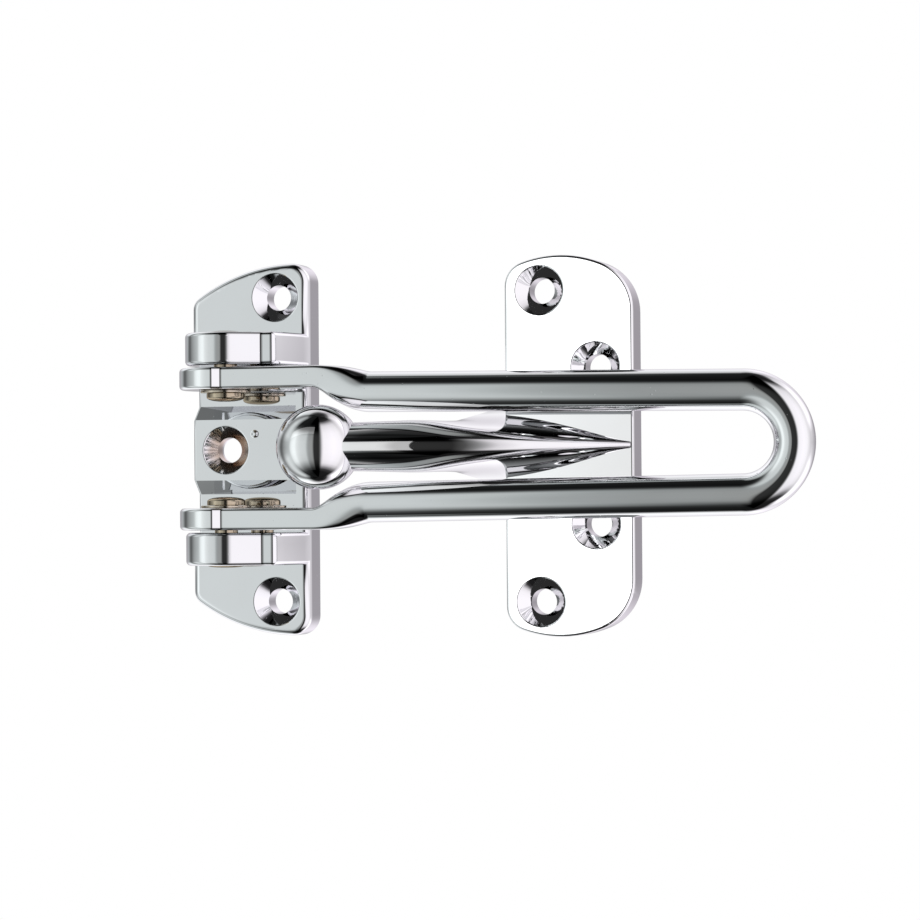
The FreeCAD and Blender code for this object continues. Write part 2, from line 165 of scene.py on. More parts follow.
class Graph:
    """A node tree that is filled through one method."""

    def __init__(self, tree: bpy.types.NodeTree) -> None:
        """Empties the tree."""
        self.tree = tree
        tree.nodes.clear()

    def node(self, kind: str, settings: dict, sockets: dict) -> Outputs:
        """Adds a node.

        Args:
            kind: The node's type.
            settings: Properties that are set before the sockets.
            sockets: Value or link of each input, by name or number.

        Returns:
            The node's outputs.
        """
        made = self.tree.nodes.new(kind)
        for name, value in settings.items():
            if name == "stops":
                self._fill_ramp(made.color_ramp, value)
            else:
                setattr(made, name, value)
        for key, value in sockets.items():
            if isinstance(value, Value):
                self.tree.links.new(value.socket, made.inputs[key])
            else:
                made.inputs[key].default_value = value
        return Outputs(self, made)

    @staticmethod
    def _fill_ramp(ramp: bpy.types.ColorRamp, stops: Sequence[tuple[float, Colour]]) -> None:
        """Sets the stops of a colour ramp."""
        while len(ramp.elements) < len(stops):
            ramp.elements.new(1.0)
        for element, (place, colour) in zip(ramp.elements, stops):
            element.position = place
            element.color = (*colour, 1.0)

    def mix(self, share: Number, a: "Colour | Value", b: "Colour | Value") -> Value:
        """Mixes two colours.

        Args:
            share: How much of the second colour.
            a: The first colour.
            b: The second colour.

        Returns:
            The mixed colour.
        """
        ends = [end if isinstance(end, Value) else (*end, 1.0) for end in (a, b)]
        return self.node("ShaderNodeMix", {"data_type": "RGBA"}, {0: share, 6: ends[0], 7: ends[1]})[2]

    def times(self, a: Value, b: Value) -> Value:
        """Product of two colours."""
        settings = {"data_type": "RGBA", "blend_type": "MULTIPLY"}
        return self.node("ShaderNodeMix", settings, {0: 1.0, 6: a, 7: b})[2]

    def ramp(self, place: Value, stops: Sequence[tuple[float, Colour]]) -> Value:
        """A colour ramp read at a place."""
        return self.node("ShaderNodeValToRGB", {"stops": stops}, {"Fac": place})["Color"]


def blank_material(name: str) -> tuple[bpy.types.Material, Graph, Value]:
    """A new material with its graph and its object coordinates.

    Args:
        name: The material's name.

    Returns:
        The material, the graph and the coordinates.
    """
    made = bpy.data.materials.new(name)
    made.use_nodes = True
    graph = Graph(made.node_tree)
    return made, graph, graph.node("ShaderNodeTexCoord", {}, {})["Object"]


def link(name: str, data: bpy.types.ID) -> bpy.types.Object:
    """An object of this name and data, linked to the scene."""
    made = bpy.data.objects.new(name, data)
    bpy.context.scene.collection.objects.link(made)
    return made


def sheet(name: str, corners: Sequence[Sequence[float]], material: bpy.types.Material) -> bpy.types.Object:
    """A flat sheet that belongs to the studio.

    Args:
        name: The sheet's name.
        corners: Its four corners, in metres.
        material: Its material.

    Returns:
        The object.
    """
    mesh = bpy.data.meshes.new(name)
    mesh.from_pydata(corners, [], [(0, 1, 2, 3)])
    mesh.materials.append(material)
    made = link(name, mesh)
    return made


# How the photograph was taken

@dataclass
class Camera:
    """The camera at the photograph's angle, and where it looks.

    Sizes are in millimetres and degrees. The image is image_width pixels wide.
    """

    azimuth: float = 16.95
    elevation: float = -0.93
    distance: float = 620.0
    aim_x: float = 51.36
    aim_out: float = 10.0
    aim_height: float = -2.67
    roll: float = 0.40
    pixels_per_unit: float = 3127.4
    image_width: float = 920.0
    sensor: float = 36.0

    def build(self) -> bpy.types.Object:
        """Makes the scene's camera.

        Returns:
            The camera object.
        """
        data = bpy.data.cameras.new("camera")
        data.sensor_width = self.sensor
        data.lens = self.pixels_per_unit / self.image_width * self.sensor
        data.clip_start = 0.01
        data.clip_end = 100.0
        camera = link("camera", data)
        turn = math.radians(self.azimuth)
        rise = math.radians(self.elevation)
        level = math.cos(rise)
        back = Vector((math.sin(turn) * level, -math.cos(turn) * level, math.sin(rise)))
        aim = Vector((self.aim_x, -self.aim_out, self.aim_height)) * MM
        camera.rotation_mode = "QUATERNION"
        camera.location = aim + back * self.distance * MM
        upright = (-back).to_track_quat("-Z", "Y")
        lean = Matrix.Rotation(-math.radians(self.roll), 3, "Z").to_quaternion()
        camera.rotation_quaternion = upright @ lean
        bpy.context.scene.camera = camera
        return camera


# What the chrome sees: light by the angle round and over the object

@dataclass
class LightTent:
    """A soft light tent whose light is a ramp round times a ramp over.

    Around lists display levels against the angle from the camera, in degrees,
    positive to the camera's right. Left, right and behind list the share of
    that light at each height angle: to the camera's left, to its right and
    beyond the object. The sine of the angle round runs from right_from to
    right_to where left gives way to right, and its cosine from blend_from to
    blend_to where behind gives way to both.
    """

    camera_azimuth: float = 17.0
    around: Tones = (
        (-180, 178, 178, 179), (-165, 184, 184, 185), (-150, 184, 184, 185), (-135, 173, 178, 178),
        (-128, 138, 141, 141), (-121, 91, 93, 93), (-114, 97, 99, 99), (-108, 126, 129, 129),
        (-99, 152, 156, 156), (-87, 175, 180, 180), (-79, 203, 208, 208), (-70, 238, 244, 244),
        (-62, 242, 248, 248), (-51, 213, 218, 218), (-40, 202, 207, 207), (-28, 49, 50, 50),
        (3, 43, 43, 43), (6, 82, 82, 82), (9, 140, 140, 141), (12.5, 215, 212, 216), (17, 244, 241, 245),
        (45, 253, 249, 255), (66, 247, 244, 248), (78, 229, 226, 230), (90, 207, 204, 208),
        (104, 201, 198, 202), (114, 189, 186, 190), (126, 183, 180, 184), (141, 161, 158, 162),
        (153, 173, 170, 174), (166, 191, 188, 192), (180, 178, 178, 179),
    )
    left: Shares = (
        (-90, 0.01), (-72, 0.012), (-63, 0.035), (-57, 0.1), (-51, 0.26), (-45, 0.46), (-39, 0.67),
        (-33, 0.86), (-26, 0.93), (-12, 0.99), (12, 0.98), (27, 0.88), (33, 0.66), (38.5, 0.32),
        (43, 0.1), (48, 0.028), (54, 0.012), (72, 0.012), (90, 0.01),
    )
    right: Shares = (
        (-90, 0.01), (-70, 0.012), (-62, 0.04), (-56, 0.25), (-50, 0.62), (-44, 0.86), (-34, 0.95),
        (-15, 1), (15, 1), (35, 0.96), (46, 0.88), (56, 0.76), (61, 0.55), (66, 0.22), (71, 0.03),
        (78, 0.012), (90, 0.01),
    )
    behind: Shares = (
        (-90, 0.02), (-80, 0.02), (-75, 0.06), (-70, 0.9), (-64, 2), (-57, 2.25), (-20, 2.2), (-9, 1.25),
        (0, 1), (9, 1.15), (20, 2.1), (46, 2.2), (52, 1.9), (58, 1.6), (64, 1.4), (69, 1.1), (73, 0.3),
        (78, 0.06), (90, 0.02),
    )
    blend_from: float = -0.30
    blend_to: float = 0.25
    right_from: float = 0.02
    right_to: float = 0.16
    strength: float = 1.14

    def build(self) -> None:
        """Makes the world: the tent for reflections, plain white for the camera."""
        world = bpy.data.worlds.new("light_tent")
        world.use_nodes = True
        bpy.context.scene.world = world
        graph = Graph(world.node_tree)
        turn = math.radians(self.camera_azimuth)
        way = graph.node("ShaderNodeTexCoord", {}, {})["Generated"]
        ahead = self._along(graph, way, (math.sin(turn), -math.cos(turn), 0.0))
        side = self._along(graph, way, (math.cos(turn), math.sin(turn), 0.0))
        up = self._along(graph, way, (0.0, 0.0, 1.0))
        place = side.angle_with(ahead) / (2 * math.pi) + 0.5
        ring = graph.ramp(place, [(angle / 360.0 + 0.5, colour) for angle, colour in toned(self.around)])
        height = up.arcsine() / math.pi + 0.5
        level = (ahead.squared() + side.squared()).root().most(0.001)
        sides = (self.left, self.right, self.behind)
        left, right, beyond = (graph.ramp(height, self.by_height(shares)) for shares in sides)
        before = graph.mix((side / level).fade(self.right_from, self.right_to), left, right)
        facing = (ahead / level).fade(self.blend_from, self.blend_to)
        band = graph.mix(facing, beyond, before)
        lit = graph.times(ring, band)
        light = graph.node("ShaderNodeBackground", {}, {"Color": lit, "Strength": self.strength})[0]
        plain = graph.node("ShaderNodeBackground", {}, {"Color": (1.0, 1.0, 1.0, 1.0), "Strength": 1.0})[0]
        seen = graph.node("ShaderNodeLightPath", {}, {})["Is Camera Ray"]
        both = graph.node("ShaderNodeMixShader", {}, {0: seen, 1: light, 2: plain})[0]
        graph.node("ShaderNodeOutputWorld", {}, {"Surface": both})

    @staticmethod
    def by_height(shares: Shares) -> list[tuple[float, Colour]]:
        """Ramp stops of shares against the height angle."""
        return [(angle / 180.0 + 0.5, (share,) * 3) for angle, share in shares]

    @staticmethod
    def _along(graph: Graph, way: Value, axis: tuple[float, float, float]) -> Value:
        """Dot product of the direction and an axis."""
        return graph.node("ShaderNodeVectorMath", {"operation": "DOT_PRODUCT"}, {0: way, 1: axis})["Value"]


@dataclass
class GreyCard:
    """A soft grey card before the object, seen only in reflections.

    It stands out millimetres in front of the mounting plane and runs across
    from left to right. Levels lists display levels against x.
    """

    tent: LightTent
    out: float = 500.0
    bottom: float = -1000.0
    top: float = 850.0
    levels: Tones = (
        (-1010, 201, 206, 206), (-787, 230, 236, 236), (-629, 241, 247, 247), (-508, 241, 247, 247),
        (-411, 223, 228, 228), (-330, 213, 218, 218), (-260, 206, 211, 211), (-196, 203, 208, 208),
        (-138, 200, 205, 205), (-112, 196, 201, 201), (-92, 185, 190, 190), (-75, 169, 174, 174),
        (-55, 155, 159, 159), (-30, 147, 150, 150), (38, 145, 147, 146), (58, 127, 129, 128),
        (72, 92, 92, 92), (84, 50, 50, 50), (100, 43, 43, 43),
    )

    def build(self) -> None:
        """Makes the card."""
        left, right = self.levels[0][0], self.levels[-1][0]
        material, graph, place = blank_material("grey_card")
        apart = graph.node("ShaderNodeSeparateXYZ", {}, {0: place})
        share = (apart["X"] / MM - left) / (right - left)
        glow = graph.ramp(share, [((x - left) / (right - left), colour) for x, colour in toned(self.levels)])
        reach = graph.node("ShaderNodeVectorMath", {"operation": "LENGTH"}, {0: place})["Value"]
        height = (apart["Z"] / reach).arcsine() / math.pi + 0.5
        band = graph.ramp(height, self.tent.by_height(self.tent.left))
        sockets = {"Color": graph.times(glow, band), "Strength": self.tent.strength}
        lit = graph.node("ShaderNodeEmission", {}, sockets)[0]
        graph.node("ShaderNodeOutputMaterial", {}, {"Surface": lit})
        corners = [(left, self.bottom), (right, self.bottom), (right, self.top), (left, self.top)]
        card = sheet("grey_card", [(x * MM, -self.out * MM, z * MM) for x, z in corners], material)
        for ray in ("camera", "diffuse", "transmission", "volume_scatter", "shadow"):
            setattr(card, f"visible_{ray}", False)


@dataclass
class SoftLight:
    """A soft light that shines back at the guard and lights one piece only.

    X holds its left and right edges and z its lower and upper edges, in
    millimetres, and it stands out millimetres from the mounting plane.
    """

    name: str
    piece: str
    x: Pair
    z: Pair
    brightness: float
    out: float = 480.0

    def build(self) -> None:
        """Makes the light and ties it to its piece."""
        width, height = (self.x[1] - self.x[0]) * MM, (self.z[1] - self.z[0]) * MM
        data = bpy.data.lights.new(self.name, "AREA")
        data.shape = "RECTANGLE"
        data.size = width
        data.size_y = height
        data.energy = self.brightness * math.pi * width * height
        light = link(self.name, data)
        light.location = Vector((sum(self.x) / 2, -self.out, sum(self.z) / 2)) * MM
        light.rotation_euler = (math.pi / 2, 0.0, 0.0)
        light.visible_camera = False
        lit = bpy.data.collections.new(f"lit_by_{self.name}")
        lit.objects.link(bpy.data.objects[self.piece])
        light.light_linking.receiver_collection = lit


# The plate's flat face mirrors the first three, over, between and under the
# bars. The next gives the neck its pale stripe, and the last the ball its
# light upper left.
SOFT_LIGHTS = (
    SoftLight("face_light_0", "striker_plate", (-125.0, 5.0), (30.0, 160.0), 2.0),
    SoftLight("face_light_1", "striker_plate", (-125.0, 5.0), (-9.0, 30.0), 0.55),
    SoftLight("face_light_2", "striker_plate", (-125.0, 5.0), (-180.0, -9.0), 2.0),
    SoftLight("arm_light", "ball_arm", (-190.0, 120.0), (-400.0, 400.0), 0.5),
    SoftLight("ball_light", "ball_end", (-900.0, 70.0), (300.0, 590.0), 0.16, out=450.0),
)


@dataclass
class PaleFloor:
    """Plain pale floor well below the object."""

    drop: float = 0.30
    size: float = 2.6

    def build(self) -> None:
        """Makes the floor."""
        material, graph, place = blank_material("pale_floor")
        cloud = graph.node("ShaderNodeTexNoise", {}, {"Vector": place, "Scale": 6.0, "Detail": 2.0})["Fac"]
        paint = graph.node("ShaderNodeBsdfPrincipled", {}, {
            "Base Color": graph.mix(cloud, (0.91, 0.91, 0.91), (0.93, 0.93, 0.93)),
            "Roughness": 0.9,
            "Emission Color": (1.0, 1.0, 1.0, 1.0),
            "Emission Strength": 0.6,
        })[0]
        graph.node("ShaderNodeOutputMaterial", {}, {"Surface": paint})
        half = self.size / 2
        corners = [(-half, -half), (half, -half), (half, half), (-half, half)]
        floor = sheet("floor", [(x, y, -self.drop) for x, y in corners], material)
        floor.visible_glossy = False


# Finishes

@dataclass(frozen=True)
class Stain:
    """A brown breath of bare metal in a countersink, with a small pip beside it.

    Sizes are in millimetres, and the axis is that of the screw hole. Front is
    how far out from the mounting plane the stain starts and is full.
    """

    colour: Colour = (0.50, 0.36, 0.25)
    inner_r: float = 3.2
    outer_r: float = 5.2
    strength: float = 0.95
    patch_size: float = 3.0
    roughness: float = 0.12
    front: Pair = (0.3, 1.2)
    pip_x: float = 6.3
    pip_z: float = 3.2
    pip_r: float = 0.95
    pip_rise: float = 0.34


@dataclass(frozen=True)
class BrightPlate:
    """A bright plated finish over a polished casting or bar.

    The plate is a clear mirror. The polished metal below leaves long faint
    waves in it, wiping leaves soft clouds of haze, and the plate has a few
    fine pits. Wave and pit sizes are in millimetres.
    """

    name: str
    colour: Colour
    grazing: Colour = (0.72, 0.70, 0.73)
    roughness: float = 0.02
    haze: float = 0.02
    cloud_size: float = 14.0
    wave_length: float = 9.0
    wave_depth: float = 0.012
    pit_spacing: float = 1.1
    pit_depth: float = 0.012
    pit_haze: float = 0.15
    mottle: Colour = (0.96, 0.95, 0.94)
    stain: Stain | None = None

    def material(self) -> bpy.types.Material:
        """Builds the material.

        Returns:
            The material.
        """
        made, graph, place = blank_material(self.name)
        cloud = self._noise(graph, place, self.cloud_size, 3.0)
        wave = self._noise(graph, place, self.wave_length, 1.0)
        sockets = {"Vector": place, "Scale": 1.0 / (self.pit_spacing * MM)}
        spots = graph.node("ShaderNodeTexVoronoi", {}, sockets)["Distance"]
        chosen = self._noise(graph, place, self.pit_spacing * 2.3, 1.0).fade(0.60, 0.68)
        pit = spots.fade(0.16, 0.05) * chosen
        hazy = tuple(own * share for own, share in zip(self.colour, self.mottle))
        colour = graph.mix(cloud.fade(0.35, 0.75) * 0.5, self.colour, hazy)
        rough = cloud.fade(0.3, 0.8) * self.haze + pit * self.pit_haze + self.roughness
        height = wave * self.wave_depth - pit * self.pit_depth
        if self.stain:
            colour, rough, height = self._stained(graph, place, colour, rough, height)
        bump = graph.node("ShaderNodeBump", {}, {"Strength": 1.0, "Distance": MM, "Height": height})[0]
        metal = graph.node("ShaderNodeBsdfPrincipled", {}, {
            "Base Color": colour,
            "Metallic": 1.0,
            "Roughness": rough,
            "Specular Tint": (*self.grazing, 1.0),
            "Normal": bump,
        })[0]
        graph.node("ShaderNodeOutputMaterial", {}, {"Surface": metal})
        return made

    @staticmethod
    def _noise(graph: Graph, place: Value, size: float, detail: float) -> Value:
        """Soft noise whose features are about size millimetres across."""
        sockets = {"Vector": place, "Scale": 1.0 / (size * MM), "Detail": detail}
        return graph.node("ShaderNodeTexNoise", {}, sockets)["Fac"]

    def _stained(
        self, graph: Graph, place: Value, colour: Value, rough: Value, height: Value,
    ) -> tuple[Value, Value, Value]:
        """Adds the stain and the pip.

        Args:
            graph: The material's graph.
            place: Object coordinates.
            colour: The plate's colour.
            rough: Its roughness.
            height: Its bump height in millimetres.

        Returns:
            Colour, roughness and height with the stain.
        """
        stain = self.stain
        apart = graph.node("ShaderNodeSeparateXYZ", {}, {0: place})
        x, z = apart["X"] / MM, apart["Z"] / MM
        before = (apart["Y"] / -MM).fade(*stain.front)
        ring = (x.squared() + z.squared()).root().fade(stain.outer_r, stain.inner_r)
        uneven = self._noise(graph, place, stain.patch_size, 3.0).fade(0.2, 0.8) * 0.5 + 0.5
        share = ring * uneven * before * stain.strength
        beside = ((x - stain.pip_x).squared() + (z - stain.pip_z).squared()).root()
        pip = beside.fade(stain.pip_r, 0.1) * before
        shown = graph.mix(share, colour, stain.colour)
        return shown, rough + share * stain.roughness, height + pip * stain.pip_rise


# The thin brown plating of the rivets and washers is hazy and has no pits.
THIN = {
    "roughness": 0.08,
    "haze": 0.06,
    "wave_length": 3.0,
    "wave_depth": 0.006,
    "pit_spacing": 0.5,
    "pit_depth": 0.0,
}


class Finish(Enum):
    """The finishes that the guard's pieces have."""

    CASTING = BrightPlate("polished_casting", (0.90, 0.905, 0.92), stain=Stain())
    BAR = BrightPlate("polished_bar", (0.90, 0.91, 0.92), wave_length=14.0, wave_depth=0.008)
    STRIKER = BrightPlate(
        "polished_striker", (0.91, 0.91, 0.92), wave_length=12.0, wave_depth=0.004,
        pit_depth=0.0, pit_haze=0.0,
    )
    PIN = BrightPlate("brown_pin", (0.52, 0.44, 0.33), (0.55, 0.50, 0.45), **THIN)
    WASHER = BrightPlate("brown_washer", (0.62, 0.55, 0.45), (0.6, 0.56, 0.5), **THIN)

    @cache
    def material(self) -> bpy.types.Material:
        """The finish's material, made once."""
        return self.value.material()


def smooth(piece: bpy.types.Object, crease: float) -> None:
    """Smooth shading that keeps flat faces flat and edges past crease sharp.

    Args:
        piece: A piece of the builder's own.
        crease: The angle, in degrees.
    """
    piece.data.shade_smooth()
    piece.data.set_sharp_from_angle(angle=math.radians(crease))
    normals = piece.modifiers.new("normals", "WEIGHTED_NORMAL")
    normals.mode = "FACE_AREA_WITH_ANGLE"
    normals.keep_sharp = True


@dataclass
class MergedSolid:
    """A merged copy of a CAD node's mesh, shaded as the solid that it came from.

    Flat faces are joined and keep their own normal, so do fillets where they
    meet them, and the cones and bores of the screw holes get normals that
    point straight at or away from the hole's axis. Sizes are in millimetres.
    """

    node: str
    finish: Finish
    slot: str
    holes: Sequence[Pair]
    rim_r: float = 5.3
    flatness: float = 0.2
    crease: float = 30.0
    least_flat: float = 30.0

    def start(self) -> bmesh.types.BMesh:
        """Copies the node's mesh and merges its corners.

        Returns:
            The copy, to be changed before it is finished.
        """
        shape = bmesh.new()
        shape.from_mesh(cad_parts[self.node].data)
        bmesh.ops.remove_doubles(shape, verts=shape.verts[:], dist=1e-6)
        return shape

    def finish_piece(self, shape: bmesh.types.BMesh, name: str) -> bpy.types.Object:
        """Turns the copy into a piece in place of the node.

        Args:
            shape: The copy.
            name: The piece's name.

        Returns:
            The piece.
        """
        level = math.radians(self.flatness)
        bmesh.ops.dissolve_limit(shape, angle_limit=level, verts=shape.verts[:], edges=shape.edges[:])
        mesh = bpy.data.meshes.new(name)
        shape.to_mesh(mesh)
        shape.free()
        mesh.shade_smooth()
        mesh.set_sharp_from_angle(angle=math.radians(self.crease))
        mesh.normals_split_custom_set(self._normals(mesh).tolist())
        piece = place_piece(mesh, name, self.finish, self.slot, "fixed_halves")
        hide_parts(self.node)
        return piece

    def _normals(self, mesh: bpy.types.Mesh) -> np.ndarray:
        """The normal at each face's corner."""
        polygons, loops = mesh.polygons, mesh.loops
        count = read(polygons, "loop_total", 1, int)[:, 0]
        own = np.repeat(read(polygons, "normal", 3, float), count, axis=0)
        area = read(polygons, "area", 1, float)[:, 0] / MM ** 2
        vertex = read(loops, "vertex_index", 1, int)[:, 0]
        place = read(mesh.vertices, "co", 3, float)[vertex] / MM
        normal = read(mesh.corner_normals, "vector", 3, float)
        flat = np.repeat((count > 4) | (area > self.least_flat), count)
        order = np.argsort(np.repeat(area, count))
        order = order[flat[order]]
        level = np.zeros((len(mesh.vertices), 3))
        level[vertex[order]] = own[order]
        near = np.einsum("ij,ij->i", own, level[vertex]) > math.cos(math.radians(self.crease))
        normal = np.where(near[:, None], level[vertex], normal)
        normal = np.where(flat[:, None], own, normal)
        for x, z in self.holes:
            normal = self._turned(normal, own, place - (x, 0.0, z))
        return normal

    def _turned(self, normal: np.ndarray, own: np.ndarray, place: np.ndarray) -> np.ndarray:
        """Straightens the normals on one hole's cone and bore.

        A turned face's normal n has no part round the axis, so at a corner in
        direction u it is (n.u) u + (n.y) y, with n.u the same all round.
        """
        away = place * (1.0, 0.0, 1.0)
        radius = np.linalg.norm(away, axis=1, keepdims=True)
        ray = away / np.maximum(radius, 1e-6)
        along = own[:, 1:2]
        across = np.sqrt(np.clip(1.0 - along ** 2, 0.0, 1.0))
        inner = (radius < self.rim_r) & (np.abs(along) < 0.9)
        return np.where(inner, along * (0.0, 1.0, 0.0) - across * ray, normal)


def read(items: bpy.types.bpy_prop_collection, name: str, size: int, kind: type) -> np.ndarray:
    """One property of all items as an array of (item, size)."""
    values = np.empty(len(items) * size, dtype=kind)
    items.foreach_get(name, values)
    return values.reshape(-1, size)


# Surfaces worked out on grids

def at(x: np.ndarray, out: np.ndarray, z: np.ndarray) -> np.ndarray:
    """Places in millimetres from x, the distance out from the mounting plane, and the height.

    Args:
        x: Along the guard.
        out: Out from the mounting plane, which is minus y.
        z: Up.

    Returns:
        The places, with x, y and z along the last axis.
    """
    return np.stack(np.broadcast_arrays(x, -np.asarray(out), z), axis=-1)


def pairs(a: np.ndarray, b: np.ndarray) -> np.ndarray:
    """Two arrays joined along a new last axis."""
    return np.stack([a, b], axis=-1)


def eased(value: np.ndarray) -> np.ndarray:
    """0 below 0, 1 above 1 and 3u^2 - 2u^3 between."""
    u = np.clip(value, 0.0, 1.0)
    return u * u * (3.0 - 2.0 * u)


def cubic(poles: Sequence[np.ndarray], t: np.ndarray) -> np.ndarray:
    """Places on cubic curves: (1-t)^3 a + 3t(1-t)^2 b + 3t^2(1-t) c + t^3 d.

    Args:
        poles: The four poles, each an array of (curve, 2).
        t: Places along the curves, from 0 to 1.

    Returns:
        An array of (curve, place, 2).
    """
    a, b, c, d = [pole[:, None, :] for pole in poles]
    t = t[None, :, None]
    s = 1.0 - t
    return s ** 3 * a + 3 * t * s ** 2 * b + 3 * t ** 2 * s * c + t ** 3 * d


class Skin:
    """Closed shells, each a grid of two parameters, gathered into one mesh."""

    def __init__(self) -> None:
        """Starts empty."""
        self.points: list[np.ndarray] = []
        self.faces: list[list[int]] = []
        self.count = 0

    def shell(self, grid: np.ndarray, ring: bool) -> "Skin":
        """Adds a shell whose columns close on themselves.

        Its faces are turned to point outwards, by the sign of the volume that
        it holds.

        Args:
            grid: Places in millimetres, as (row, column, 3).
            ring: Whether the last row joins the first. Otherwise a fan to the
                middle of each end row closes the shell.

        Returns:
            The skin.
        """
        rows, columns = grid.shape[:2]
        index = np.arange(rows * columns).reshape(rows, columns)
        ahead = np.roll(index, -1, axis=1)
        if ring:
            quads = np.stack([index, ahead, np.roll(ahead, -1, axis=0), np.roll(index, -1, axis=0)], axis=-1)
            points = grid.reshape(-1, 3)
            fans = np.empty((0, 3), int)
        else:
            quads = np.stack([index[:-1], ahead[:-1], ahead[1:], index[1:]], axis=-1)
            tips = grid[[0, -1]].mean(axis=1)
            points = np.concatenate([grid.reshape(-1, 3), tips])
            first = np.full(columns, rows * columns)
            fans = np.concatenate([
                np.stack([ahead[0], index[0], first], axis=-1),
                np.stack([index[-1], ahead[-1], first + 1], axis=-1),
            ])
        quads = quads.reshape(-1, 4)
        corners = np.concatenate([quads[:, [0, 1, 2]], quads[:, [0, 2, 3]], fans])
        a, b, c = (points[corners[:, k]] for k in range(3))
        if np.einsum("ij,ij->", a, np.cross(b, c)) < 0:
            quads, fans = quads[:, ::-1], fans[:, ::-1]
        self.faces += (quads + self.count).tolist() + (fans + self.count).tolist()
        self.points.append(points)
        self.count += len(points)
        return self

    def piece(self, name: str, finish: Finish, slot: str, body: str, crease: float) -> bpy.types.Object:
        """Makes the object, dresses it and puts it on its body.

        Args:
            name: The piece's name.
            finish: Its finish.
            slot: The record's material slot.
            body: The CAD body that it rides on.
            crease: Edges sharper than this many degrees stay sharp.

        Returns:
            The object.
        """
        mesh = bpy.data.meshes.new(name)
        mesh.from_pydata((np.concatenate(self.points) * MM).tolist(), [], self.faces)
        mesh.validate()
        piece = place_piece(mesh, name, finish, slot, body)
        smooth(piece, crease)
        return piece


def place_piece(mesh: bpy.types.Mesh, name: str, finish: Finish, slot: str, body: str) -> bpy.types.Object:
    """Links a mesh as a piece of the guard.

    Args:
        mesh: The mesh, in metres in the shared frame.
        name: The piece's name.
        finish: Its finish.
        slot: The record's material slot. Not used.
        body: The CAD body that it rides on.

    Returns:
        The object.
    """
    piece = link(name, mesh)
    mesh.materials.append(finish.material())
    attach(piece, body)
    log.info("%s: %d places, %d faces, %s", name, len(mesh.vertices), len(mesh.polygons), finish.value.name)
    return piece


class Side(Enum):
    """Which half of the guard a piece is in."""

    UPPER = 1
    LOWER = -1

    @property
    def word(self) -> str:
        """The half's name."""
        return self.name.lower()

    def of(self, grid: np.ndarray) -> np.ndarray:
        """The grid of an upper piece, put in this half."""
        return grid * np.array([1.0, 1.0, float(self.value)])


@dataclass
class Pivot:
    """Where the eyes turn, in millimetres."""

    x: float = 2.9
    out: float = 13.0

    def lathe(self, profile: np.ndarray, steps: int) -> np.ndarray:
        """Carries a profile round the pivot's axis.

        Place (i, j) is profile point i, (radius, height), at angle 2 pi j / steps.

        Args:
            profile: Points as (radius, height).
            steps: How many columns go round.

        Returns:
            The grid.
        """
        angle = np.arange(steps) * 2 * math.pi / steps
        radius, height = profile[:, :1], profile[:, 1:]
        return at(self.x + radius * np.cos(angle), self.out + radius * np.sin(angle), height)


